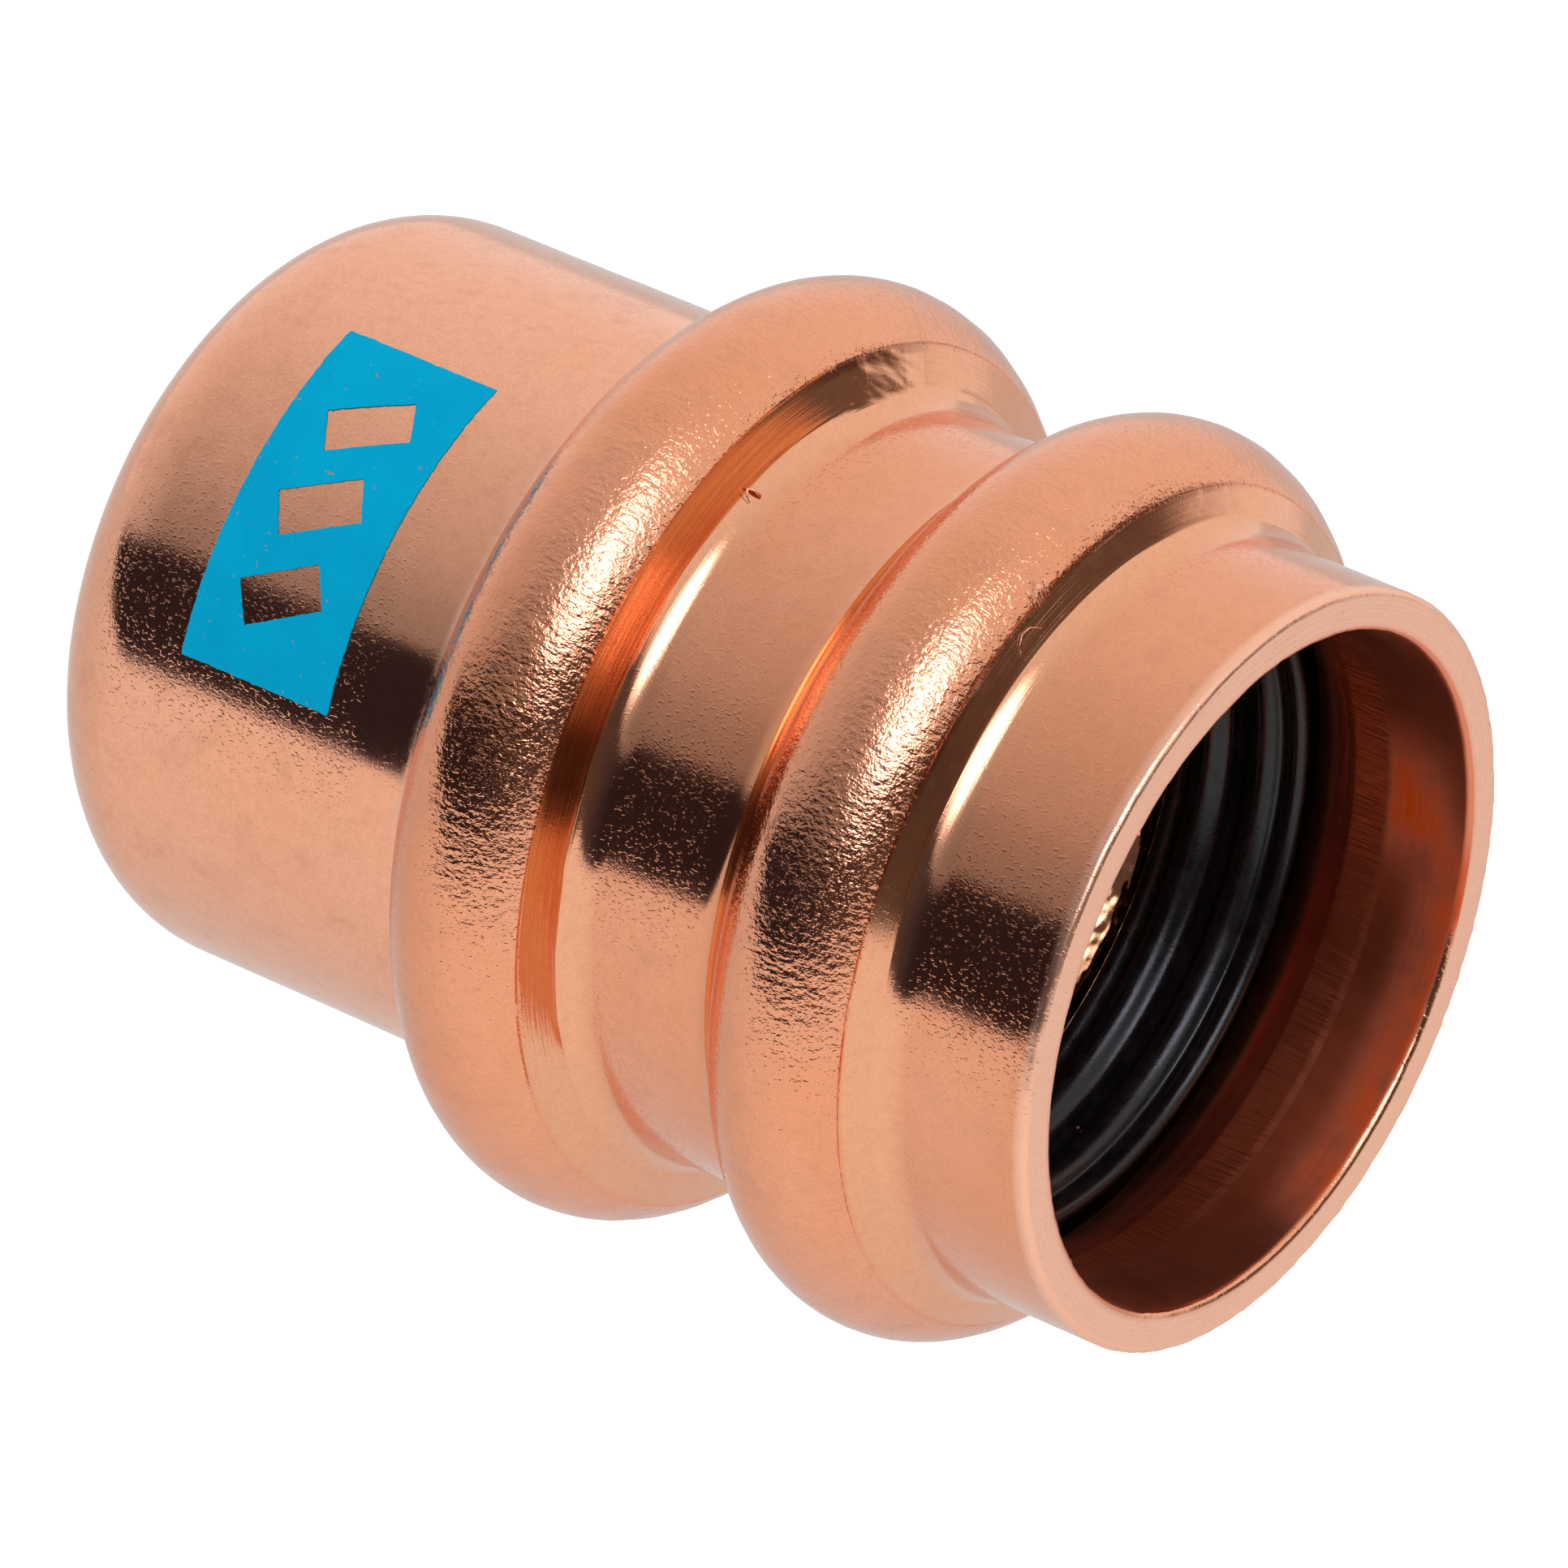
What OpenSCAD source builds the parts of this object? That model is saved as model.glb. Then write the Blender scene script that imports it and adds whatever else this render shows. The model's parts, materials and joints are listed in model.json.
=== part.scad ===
// Copper press end cap for refrigeration tube: a drawn cup whose socket is pressed onto the tube's end.
// Each of its two beads holds a rubber seal ring. The cap stands on its closed end, which is z = 0,
// and its mouth faces +Z. All sizes are in millimetres.

/* [Socket] */
// Outside diameter of the tube that the socket takes
tube_d = 22.22; // [20:0.01:25.4]
// Clearance around the tube, on the radius
tube_gap = 0.14; // [0.08:0.01:0.25]
// Thickness of the copper wall
wall = 1.4; // [1.2:0.05:1.6]
// Overall length, from the closed end to the mouth
cap_length = 39.8; // [38:0.1:60]
// Size of the chamfers inside and outside the mouth
edge_break = 0.22; // [0.1:0.01:0.4]

/* [Seal beads] */
// Distance from the mouth to the middle of the front bead
front_bead_depth = 8.6; // [8:0.1:9.5]
// Distance from the mouth to the middle of the rear bead
rear_bead_depth = 20.65; // [19:0.05:24]
// How far the front bead stands out from the barrel
front_bead_height = 2.65; // [2.6:0.05:2.9]
// How far the rear bead stands out from the barrel
rear_bead_height = 3.1; // [2.7:0.05:3.3]
// Outside radius of the front bead's round section
front_bead_crown = 3.05; // [3.05:0.05:3.3]
// Outside radius of the rear bead's round section
rear_bead_crown = 3.15; // [3.05:0.05:3.4]
// Thickness of the wall at a bead, where the copper is stretched
bead_wall = 1.27; // [1:0.01:1.27]
// Outside radius of the crease at each foot of a bead
crease_r = 1.2; // [0.6:0.1:1.4]

/* [Closed end] */
// Outside radius of the corner between the barrel and the flat end
end_corner_r = 4; // [2.5:0.1:5]

/* [Seal rings] */
// How far a seal ring's two middle ridges stand into the bore
seal_reach = 0.75; // [0.7:0.05:0.85]
// How far its two side lips stand into the bore
lip_reach = 0.4; // [0.3:0.05:0.45]
// Thickness of a seal ring, from its ridges to its back
seal_thickness = 3.35; // [3.2:0.05:3.4]
// Radius of its rounded back
seal_back_r = 1.5; // [1.4:0.05:1.5]
// Radius of its middle ridges
ridge_r = 0.6; // [0.5:0.05:0.65]
// Distance between the middle ridges
ridge_spacing = 2.1; // [1.9:0.05:2.2]
// Radius of its side lips
lip_r = 0.36; // [0.3:0.01:0.36]
// Distance between the side lips
lip_spacing = 4.4; // [4.2:0.05:4.4]
// Depth of the valleys between the ridges and the lips
valley_depth = 0.5; // [0.4:0.05:0.5]
// How far a seal ring lies beyond the middle of its bead, away from the mouth
seal_offset = 0.2; // [0:0.05:0.2]

/* [Printed mark] */
// Height of the printed field, along the barrel
mark_height = 5.95; // [4:0.05:8]
// Distance from the closed end to the printed field
mark_from_end = 6.15; // [5:0.05:7]
// Angle that the printed field covers around the barrel
mark_angle = 55; // [30:1:90]
// Angle of the middle of the printed field, from +X towards +Y
mark_middle = 261; // [0:1:359]
// Thickness of the ink
ink = 0.04; // [0.03:0.01:0.1]
// Number of slanted bars left bare in the printed field
bars = 3; // [1:1:4]
// Length of a bare bar, along the barrel
bar_length = 2.9; // [2:0.1:3.5]
// Width of a bare bar
bar_width = 1.5; // [0.8:0.1:1.8]
// Slant of the bare bars, in degrees
bar_slant = 28; // [0:1:35]

/* [Hidden] */
bore_r = tube_d / 2 + tube_gap;
outer_r = bore_r + wall;
bend_r = crease_r + wall;
seal_inner_r = bore_r - seal_reach;
seal_back_centre_r = seal_inner_r + seal_thickness - seal_back_r;
lip_centre_r = bore_r - lip_reach + lip_r;
bar_step = mark_angle / (bars + 1);
arc_steps = 12;
$fn = 96;

// Points [r, z] on an arc about [cr, cz], from one angle to another
function arc(cr, cz, r, from, to, steps = arc_steps) = [
    for (i = [0 : steps])
        let (a = from + (to - from) * i / steps)
        [cr + r * cos(a), cz + r * sin(a)]
];

// A bead's outline, from its lower foot to its upper foot. It is one round section between two bends:
// wall_r is the straight wall's radius, section_r the bead's, centre_r where its centre lies, and
// bend the radius of the bend at each foot
function bead(z, wall_r, section_r, centre_r, bend) =
    let (
        out = wall_r + bend - centre_r,
        along = sqrt(pow(section_r + bend, 2) - pow(out, 2)),
        turn = atan2(along, out)
    )
    concat(
        arc(wall_r + bend, z - along, bend, 180, 180 - turn),
        arc(centre_r, z, section_r, -turn, turn, 2 * arc_steps),
        arc(wall_r + bend, z + along, bend, 180 + turn, 180)
    );

function flip(points) = [for (i = [len(points) - 1 : -1 : 0]) points[i]];

function front_centre_r() = outer_r + front_bead_height - front_bead_crown;
function rear_centre_r() = outer_r + rear_bead_height - rear_bead_crown;
function front_z() = cap_length - front_bead_depth;
function rear_z() = cap_length - rear_bead_depth;

// Outside of the cup, from the middle of the closed end up to the mouth
outside = concat(
    [[0, 0]],
    arc(outer_r - end_corner_r, end_corner_r, end_corner_r, -90, 0),
    bead(rear_z(), outer_r, rear_bead_crown, rear_centre_r(), crease_r),
    bead(front_z(), outer_r, front_bead_crown, front_centre_r(), crease_r),
    [[outer_r, cap_length - edge_break], [outer_r - edge_break, cap_length]]
);

// Inside of the cup, from the middle of its floor up to the mouth
inside = concat(
    [[0, wall]],
    arc(outer_r - end_corner_r, end_corner_r, end_corner_r - wall, -90, 0),
    bead(rear_z(), bore_r, rear_bead_crown - bead_wall, rear_centre_r(), bend_r),
    bead(front_z(), bore_r, front_bead_crown - bead_wall, front_centre_r(), bend_r),
    [[bore_r, cap_length - edge_break], [bore_r + edge_break, cap_length]]
);

// The drawn cup, with its two beads
module fitting_body() {
    color("#dd9b7b")
        rotate_extrude()
            polygon(concat(outside, flip(inside)));
}

// A seal ring's section: a rounded back, a web, and two ridges and two lips that face the bore
module seal_section() {
    valley_r = seal_inner_r + valley_depth;
    shoulder_r = lip_centre_r + lip_r / 2;
    union() {
        translate([seal_back_centre_r, 0])
            circle(r = seal_back_r);
        polygon([
            [valley_r, -lip_spacing / 2],
            [shoulder_r, -lip_spacing / 2],
            [seal_back_centre_r, -seal_back_r],
            [seal_back_centre_r, seal_back_r],
            [shoulder_r, lip_spacing / 2],
            [valley_r, lip_spacing / 2]
        ]);
        for (side = [-1, 1]) {
            translate([seal_inner_r + ridge_r, side * ridge_spacing / 2])
                circle(r = ridge_r);
            translate([lip_centre_r, side * lip_spacing / 2])
                circle(r = lip_r);
        }
    }
}

// One rubber ring, in the bead whose middle is at height z
module seal_ring(z) {
    color("#1b1b1c")
        translate([0, 0, z - seal_offset])
            rotate_extrude()
                seal_section();
}

module front_seal_ring() {
    seal_ring(front_z());
}

module rear_seal_ring() {
    seal_ring(rear_z());
}

// A plain field of ink on the barrel, with slanted bars left bare
module printed_mark() {
    color("#0a96c8")
        difference() {
            rotate([0, 0, mark_middle - mark_angle / 2])
                rotate_extrude(angle = mark_angle)
                    translate([outer_r, mark_from_end])
                        square([ink, mark_height]);
            for (i = [1 : bars])
                rotate([0, 0, mark_middle - mark_angle / 2 + i * bar_step])
                    translate([outer_r, 0, mark_from_end + mark_height / 2])
                        rotate([bar_slant, 0, 0])
                            cube([4, bar_width, bar_length], center = true);
        }
}

fitting_body();
front_seal_ring();
rear_seal_ring();
printed_mark();
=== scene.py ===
"""Copper press end cap for refrigeration tube, standing on its closed end with its mouth up.

The drawn cup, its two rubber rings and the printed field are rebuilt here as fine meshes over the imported
model, in its frame. Lengths are in metres; sizes that repeat the design's are written in millimetres times MM.
"""

import json
import math
import random

import bmesh
import bpy
from mathutils import Matrix, Vector, geometry, noise


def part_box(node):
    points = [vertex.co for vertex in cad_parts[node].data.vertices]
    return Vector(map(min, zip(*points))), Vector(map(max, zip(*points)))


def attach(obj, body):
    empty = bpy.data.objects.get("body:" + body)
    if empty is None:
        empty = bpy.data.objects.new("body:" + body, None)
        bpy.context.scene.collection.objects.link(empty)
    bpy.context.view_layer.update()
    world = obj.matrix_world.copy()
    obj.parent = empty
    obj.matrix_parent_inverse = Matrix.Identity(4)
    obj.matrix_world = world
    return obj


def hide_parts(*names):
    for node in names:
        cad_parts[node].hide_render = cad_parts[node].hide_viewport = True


MM = 0.001

# ---------------------------------------------------------------- the design's sizes, in millimetres
WALL = 1.4
BEAD_WALL = 1.27
CREASE_R = 1.2
END_CORNER_R = 4.0
EDGE_BREAK = 0.22
FRONT_BEAD = {"depth": 8.6, "height": 2.65, "crown": 3.05}
REAR_BEAD = {"depth": 20.65, "height": 3.1, "crown": 3.15}

# The feet as the press tool left them, each on one side of its bead: how far from the bead's middle its crown
# ends and its bend begins, the bend's radius, and how far out the bend ends.
FRONT_BEAD_FEET = {"lower": (2.80, 2.80, 1.35, 4.037), "upper": (2.53, 3.05, 1.38, 4.01)}
REAR_BEAD_FEET = {"lower": (3.077, 3.077, 0.8, 3.857), "upper": (2.53, 3.03, 1.25, 4.07)}

SEAL_REACH = 0.75
SEAL_BACK_R = 1.5
RIDGE_R = 0.6
RIDGE_SPACING = 2.1
LIP_REACH = 0.4
LIP_R = 0.36
LIP_SPACING = 4.4
VALLEY_DEPTH = 0.5
INK = 0.04
MARK_ANGLE = 55.0
MARK_MIDDLE = 261.0
MARK_BARS = 3
BAR_SIZE = (1.5, 2.9)
BAR_SLANT = 28.0

# ---------------------------------------------------------------- how fine the meshes are
AROUND = 240
SEAL_AROUND = 240
SEAL_PITCH = 0.075
INK_PITCH = 0.12

random.seed(7)
noise.seed_set(7)
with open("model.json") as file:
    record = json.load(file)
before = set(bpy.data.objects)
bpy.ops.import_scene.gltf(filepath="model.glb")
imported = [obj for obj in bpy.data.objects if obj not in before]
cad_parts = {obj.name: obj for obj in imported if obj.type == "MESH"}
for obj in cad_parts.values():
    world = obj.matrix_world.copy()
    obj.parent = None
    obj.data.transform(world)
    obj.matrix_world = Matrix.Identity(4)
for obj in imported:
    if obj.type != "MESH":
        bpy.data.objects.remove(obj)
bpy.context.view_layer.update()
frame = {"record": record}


def socket_radius():
    """The bore's radius, in millimetres, from the record's mount."""
    mounts = frame["record"]["mounts"]
    return next(m["dims"]["r_mm"] for m in mounts if m["name"] == "tube_socket")


BORE_R = socket_radius()
OUTER_R = BORE_R + WALL
LENGTH = (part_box("fitting_body")[1].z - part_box("fitting_body")[0].z) / MM


# ---------------------------------------------------------------- outlines, in millimetres
def arc(centre, radius, start, end, steps):
    """Points (r, z) on an arc about centre, from one angle in degrees to another."""
    points = []
    for i in range(steps + 1):
        a = math.radians(start + (end - start) * i / steps)
        points.append((centre[0] + radius * math.cos(a), centre[1] + radius * math.sin(a)))
    return points


def bead_outline(bead, wall_r, thickness, bend):
    """A bead's outline from its lower foot to its upper foot: one round section between two bends."""
    z = LENGTH - bead["depth"]
    section = bead["crown"] - thickness
    centre_r = OUTER_R + bead["height"] - bead["crown"]
    out = wall_r + bend - centre_r
    rise = math.sqrt((section + bend) ** 2 - out**2)
    turn = math.degrees(math.atan2(rise, out))
    lower = arc((wall_r + bend, z - rise), bend, 180, 180 - turn, 30)
    crown = arc((centre_r, z), section, -turn, turn, 120)
    upper = arc((wall_r + bend, z + rise), bend, 180 + turn, 180, 30)
    return lower + crown[1:-1] + upper


def pressed_foot(bead, crown_end, bend_start, bend, end):
    """Half a bead's outside as (r, offset) from its crown's top, with a straight wall before its bend."""
    centre_r = OUTER_R + bead["height"] - bead["crown"]
    turn = math.degrees(math.asin(crown_end / bead["crown"]))
    tilt = math.degrees(math.asin((end - bend_start) / bend))
    crown = arc((centre_r, 0.0), bead["crown"], 0, turn, 60)
    return crown + arc((OUTER_R + bend, end), bend, 180 + tilt, 180, 40)


def pressed_bead(bead, feet):
    """A bead's outside from its lower foot to its upper foot, as (r, z)."""
    z = LENGTH - bead["depth"]
    lower = pressed_foot(bead, *feet["lower"])[::-1]
    upper = pressed_foot(bead, *feet["upper"])[1:]
    return [(r, z - offset) for r, offset in lower] + [(r, z + offset) for r, offset in upper]


def outside_outline():
    """From the middle of the closed end up to the mouth's outer edge."""
    return (
        [(0.0, 0.0)]
        + arc((OUTER_R - END_CORNER_R, END_CORNER_R), END_CORNER_R, -90, 0, 60)
        + pressed_bead(REAR_BEAD, REAR_BEAD_FEET)
        + pressed_bead(FRONT_BEAD, FRONT_BEAD_FEET)
        + arc((OUTER_R - EDGE_BREAK, LENGTH - EDGE_BREAK), EDGE_BREAK, 0, 90, 8)
    )


def inside_outline():
    """From the mouth's inner edge down to the middle of the socket's floor."""
    bend = CREASE_R + WALL
    upward = (
        [(0.0, WALL)]
        + arc((OUTER_R - END_CORNER_R, END_CORNER_R), END_CORNER_R - WALL, -90, 0, 30)
        + bead_outline(REAR_BEAD, BORE_R, BEAD_WALL, bend)
        + bead_outline(FRONT_BEAD, BORE_R, BEAD_WALL, bend)
        + [(BORE_R, LENGTH - EDGE_BREAK), (BORE_R + 0.35 * EDGE_BREAK, LENGTH - 0.2 * EDGE_BREAK)]
        + [(BORE_R + EDGE_BREAK, LENGTH)]
    )
    return upward[::-1]


def spaced(points, pitch_at):
    """The same line with its points pitch_at(r, z) apart; its two ends stay."""
    result = [points[0]]
    need = 0.0
    for start, end in zip(points, points[1:]):
        length = math.dist(start, end)
        pieces = max(1, round(length / 0.01))
        for i in range(1, pieces + 1):
            r = start[0] + (end[0] - start[0]) * i / pieces
            z = start[1] + (end[1] - start[1]) * i / pieces
            need += length / pieces / pitch_at(r, z)
            if need >= 1.0:
                result.append((r, z))
                need -= 1.0
    if math.dist(result[-1], points[-1]) < 0.5 * pitch_at(*points[-1]):
        result.pop()
    return result + [points[-1]]


# ---------------------------------------------------------------- mesh help
def new_object(name, mesh, body="root", replaces=()):
    """A shown piece that rides on the body and stands for the CAD nodes named."""
    piece = bpy.data.objects.new(name, mesh)
    bpy.context.scene.collection.objects.link(piece)
    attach(piece, body)
    if replaces:
        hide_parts(*replaces)
    return piece


def set_attribute(mesh, name, values):
    """A float per vertex, which the materials read by name."""
    layer = mesh.attributes.new(name, "FLOAT", "POINT")
    layer.data.foreach_set("value", values)


def smooth(mesh):
    """Smooth shading for every face."""
    mesh.polygons.foreach_set("use_smooth", [True] * len(mesh.polygons))


def step(low, high, x):
    """0 below low, 1 above high, and smooth between."""
    t = min(max((x - low) / (high - low), 0.0), 1.0)
    return t * t * (3 - 2 * t)


def band(x, low, high, soft):
    """1 between low and high, falling to 0 over soft on both sides."""
    return step(low - soft, low, x) * (1 - step(high, high + soft, x))


def ridge(x, middle, width):
    """1 at middle, falling to 0 over about twice the width."""
    return math.exp(-(((x - middle) / width) ** 2))


def turned(section, around, place):
    """Vertices and faces of a closed section loop turned about Z. place(index, angle) gives (r, z) in mm."""
    count = len(section)
    vertices, faces = [], []
    for k in range(around):
        angle = 2 * math.pi * k / around
        for j in range(count):
            r, z = place(j, angle)
            vertices.append((r * math.cos(angle) * MM, r * math.sin(angle) * MM, z * MM))
            after_k, after_j = (k + 1) % around, (j + 1) % count
            faces.append((k * count + j, after_k * count + j, after_k * count + after_j, k * count + after_j))
    return vertices, faces


def line_normals(points, closed=False):
    """The normal on the right-hand side of each point of the line, as (r, z)."""
    normals = []
    last = len(points) - 1
    for i in range(len(points)):
        before = points[i - 1] if closed or i else points[0]
        after = points[(i + 1) % len(points)] if closed else points[min(i + 1, last)]
        dr, dz = after[0] - before[0], after[1] - before[1]
        size = math.hypot(dr, dz)
        normals.append((dz / size, -dr / size))
    return normals


# ---------------------------------------------------------------- the drawn cup
# Offsets along the axis from the middle of a bead, towards the closed end, in millimetres: the rough part of
# the front flank ends in a crease, a straight wall that the press tool left reaches from there to the tool's
# edge, and both feet end where the barrel begins.
FLANK_CREASE = -2.53
TOOL_EDGE = -3.03
FOOT_END = 4.0

# Depths from the mouth, in millimetres: the bore's bare first part ends in a step, scored lines follow up to
# the ring, and a crumpled land lies behind the front ring.
EDGE_DEPTH = 0.3
STEP_DEPTH = 3.15
COMB_END = 4.6
LAND = (10.6, 13.0)

# Where marks lie round the axis, in degrees: two ends, or a middle and a width.
WALL_BRUSHED = (226, 292)
FOLDED = (199, 207)
# The angles of the painted shade in the creases at the beads' feet.
SHADED_CREASE = (200, 262)
# A painted glow in the bore: the angles of its spot and of its strip.
GLOW_SPOT = (128, 9)
GLOW_STRIP = (62, 116)
# The angles of the painted highlight on the bore's broken edge.
LIP_HIGHLIGHT = (10, 104)


def crease_lift(depth, angle):
    """The creases that the press tool leaves at the foot of a bead, in millimetres."""
    lift = 0.0
    for bead, depth_at_edge in ((FRONT_BEAD, 0.2), (REAR_BEAD, 1.0)):
        offset = depth - bead["depth"]
        wander = 0.03 * noise.noise(Vector((math.cos(angle) * 9, math.sin(angle) * 9, bead["depth"])))
        patch = noise.noise(Vector((math.cos(angle) * 5, math.sin(angle) * 5, 4 + bead["depth"])))
        uneven = step(-0.05, 0.45, patch)
        lift -= 0.010 * uneven * ridge(offset, FLANK_CREASE + wander, 0.045)
        lift -= 0.026 * depth_at_edge * step(0.0, 0.4, -patch) * ridge(offset, TOOL_EDGE + wander, 0.03)
    return lift


def brushing(depth, angle):
    """Where the rear bead's straight wall is brushed bright."""
    return band(depth - REAR_BEAD["depth"], TOOL_EDGE, FLANK_CREASE, 0.06) * band(angle, *WALL_BRUSHED, 14)


def folding(depth, angle):
    """Where the foot of the rear bead's front flank is folded."""
    return band(depth - REAR_BEAD["depth"], -2.95, -2.35, 0.25) * band(angle, *FOLDED, 6)


def crease_shade(depth, angle):
    """Where the foot of a bead's front flank is painted dark: a painted shade along its crease."""
    rear, front = depth - REAR_BEAD["depth"], depth - FRONT_BEAD["depth"]
    weight = band(rear, -2.60, -2.52, 0.06) + 0.4 * band(front, -2.95, -2.56, 0.07)
    weight += 0.5 * band(front, -2.58, -2.48, 0.05)
    return weight * band(angle, *SHADED_CREASE, 12)


def bore_glow(depth, angle):
    """Where the first millimetres of the bore have a painted glow: a spot at the step and a strip along the
    edge.
    """
    spot = ridge(angle, *GLOW_SPOT) * step(0.3, 1.9, depth) * (1 - step(STEP_DEPTH - 0.2, STEP_DEPTH, depth))
    strip = band(angle, *GLOW_STRIP, 14) * (1 - step(0.5, 2.3, depth))
    return min(1.0, 1.2 * spot + 0.9 * strip)


def brightness(depth, angle):
    """Where the bore's broken edge takes the outside's copper and smoothness instead of the bore's: a painted
    highlight.
    """
    return (1 - step(0.12, 0.2, depth)) * band(angle, *LIP_HIGHLIGHT, 8)


def surface_lift(r, z, angle, marks):
    """How far the real surface stands off the plain outline, in millimetres: slow waves from the press
    tools, creases at the beads, and a rough sawn mouth."""
    x, y = r * math.cos(angle), r * math.sin(angle)
    lift = 0.012 * noise.noise(Vector((x * 0.22, y * 0.22, z * 0.22)))
    lift += 0.022 * marks["hammer"] * noise.noise(Vector((x * 0.9, y * 0.9, z * 0.7)))
    lift += 0.030 * marks["edge"] * noise.noise(Vector((x * 2.4, y * 2.4, 3.0)))
    lift += 0.010 * marks["bore"] * noise.noise(Vector((x * 0.35, y * 0.35, z * 0.8)))
    if not marks["bore"]:
        lift += crease_lift(LENGTH - z, angle)
    return lift


def marks_at(r, z, outer):
    """What a point of the outline is part of, as weights from 0 to 1 for the materials and the lift."""
    depth = LENGTH - z
    marks = {"hammer": 0.0, "foot": 0.0, "lines": 0.0, "worked": 0.0, "comb": 0.0, "frost": 0.0}
    marks["strip"] = marks["land"] = marks["rim"] = 0.0
    if outer:
        for bead in (FRONT_BEAD, REAR_BEAD):
            offset = depth - bead["depth"]
            rough = band(offset, FLANK_CREASE + 0.06, 0.3, 0.05) * (1 - 0.7 * step(-0.6, 1.0, offset))
            marks["hammer"] = max(marks["hammer"], rough, 0.45 * band(offset, 0.3, 2.7, 0.3))
            foot = step(-4.3, -3.3, offset) * (1 - step(FLANK_CREASE - 0.06, FLANK_CREASE, offset))
            foot = max(foot, band(offset, 2.6, FOOT_END - 0.5, 0.15))
            marks["foot"] = max(marks["foot"], foot)
            marks["lines"] = max(marks["lines"], band(offset, 3.5, 4.15, 0.3))
        marks["lines"] = max(marks["lines"], band(depth - REAR_BEAD["depth"], FOOT_END, 5.6, 0.5))
        marks["worked"] = 1 - step(REAR_BEAD["depth"] + 2.6, REAR_BEAD["depth"] + 3.9, depth)
        marks["frost"] = band(depth - REAR_BEAD["depth"], 2.2, 3.7, 0.35)
        marks["strip"] = band(depth - FRONT_BEAD["depth"], 2.6, FOOT_END - 0.6, 0.15)
        marks["rim"] = 1.0 if depth < EDGE_DEPTH and r > OUTER_R - EDGE_DEPTH else 0.0
    else:
        marks["comb"] = band(depth, STEP_DEPTH, COMB_END, 0.12)
        marks["worked"] = 1.0
        marks["land"] = band(depth, *LAND, 0.4)
    at_corner = r < BORE_R + EDGE_DEPTH or r > OUTER_R - EDGE_DEPTH
    marks["bore"] = 0.0 if outer else 1.0
    marks["edge"] = 1.0 if depth < EDGE_DEPTH and at_corner else 0.0
    marks["face"] = 1.0 if depth < 0.02 else 0.0
    return marks


def vertex_marks(row, depth, angle):
    """All marks of one vertex: those of its row, and those that change round the axis, by degrees."""
    inside, outside = row["bore"], 1 - row["bore"]
    marks = dict(row)
    # A painted glow in the bore near the mouth.
    marks["warm"] = inside * bore_glow(depth, angle)
    # A painted highlight on the bore's broken edge.
    marks["lip"] = inside * brightness(depth, angle)
    # A painted shade in the creases at the beads' feet.
    marks["grime"] = outside * crease_shade(depth, angle)
    marks["fold"] = outside * folding(depth, angle)
    marks["wall"] = outside * brushing(depth, angle)
    return marks


def outside_pitch(r, z):
    """How close the outside's rows lie, in millimetres: closest at creases and bends."""
    depth = LENGTH - z
    pitch = 0.4
    for bead in (FRONT_BEAD, REAR_BEAD):
        offset = abs(depth - bead["depth"])
        if offset < FOOT_END + 0.15:
            pitch = 0.16 if offset < 2.2 else 0.1
        if min(abs(offset + FLANK_CREASE), abs(offset + TOOL_EDGE)) < 0.08:
            pitch = 0.045
    if depth < EDGE_DEPTH:
        pitch = 0.06
    return pitch if z > 0.01 else 1.2


def inside_pitch(r, z):
    """How close the inside's rows lie, in millimetres: closest at the mouth, which is seen."""
    depth = LENGTH - z
    if depth < EDGE_DEPTH:
        return 0.08
    if depth < 5.5:
        return 0.3
    return 0.5 if r > BORE_R - 0.1 else 0.8


def make_body():
    """The cup as one closed mesh of revolution, lifted off its outline by the marks of its making."""
    outer = spaced(outside_outline(), outside_pitch)
    inner = spaced(inside_outline(), inside_pitch)
    start, end = outer[-1], inner[0]
    face = [(start[0] + (end[0] - start[0]) * i / 6, LENGTH) for i in range(1, 6)]
    points = outer + face + inner
    normals = line_normals(points)
    rows = [marks_at(r, z, i < len(outer) + len(face)) for i, (r, z) in enumerate(points)]
    along = 0.0
    for i, row in enumerate(rows):
        along += math.dist(points[i - 1], points[i]) if i else 0.0
        row["along"] = along
    rings = range(1, len(points) - 1)
    vertices = [(0.0, 0.0, points[0][1] * MM)]
    marks = [vertex_marks(rows[0], LENGTH - points[0][1], 0.0)]
    for i in rings:
        (r, z), (nr, nz) = points[i], normals[i]
        for k in range(AROUND):
            angle = 2 * math.pi * k / AROUND
            lift = surface_lift(r, z, angle, rows[i]) if z > 0.3 else 0.0
            rr, zz = r + nr * lift, min(z + nz * lift, LENGTH)
            vertices.append((rr * math.cos(angle) * MM, rr * math.sin(angle) * MM, zz * MM))
            marks.append(vertex_marks(rows[i], LENGTH - z, 360.0 * k / AROUND))
    vertices.append((0.0, 0.0, points[-1][1] * MM))
    marks.append(vertex_marks(rows[-1], LENGTH - points[-1][1], 0.0))
    faces = []
    for i in range(len(rings) - 1):
        for k in range(AROUND):
            a = 1 + i * AROUND + k
            b = 1 + i * AROUND + (k + 1) % AROUND
            faces.append((a, b, b + AROUND, a + AROUND))
    last = len(vertices) - 1
    for k in range(AROUND):
        after = (k + 1) % AROUND
        faces.append((0, 1 + after, 1 + k))
        faces.append((last, last - AROUND + k, last - AROUND + after))
    mesh = bpy.data.meshes.new("cap_body")
    mesh.from_pydata(vertices, [], faces)
    smooth(mesh)
    for name in marks[0]:
        set_attribute(mesh, name, [mark[name] for mark in marks])
    mesh.materials.append(copper_material())
    return new_object("cap_body", mesh, replaces=("fitting_body",))


# ---------------------------------------------------------------- burrs at the creases
def outside_radius(z):
    """The outside's radius at a height above the closed end's corner, in millimetres."""
    outline = outside_outline()
    for (r0, z0), (r1, z1) in zip(outline, outline[1:]):
        if z0 <= z <= z1 and z1 > z0:
            return r0 + (r1 - r0) * (z - z0) / (z1 - z0)
    return OUTER_R


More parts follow.
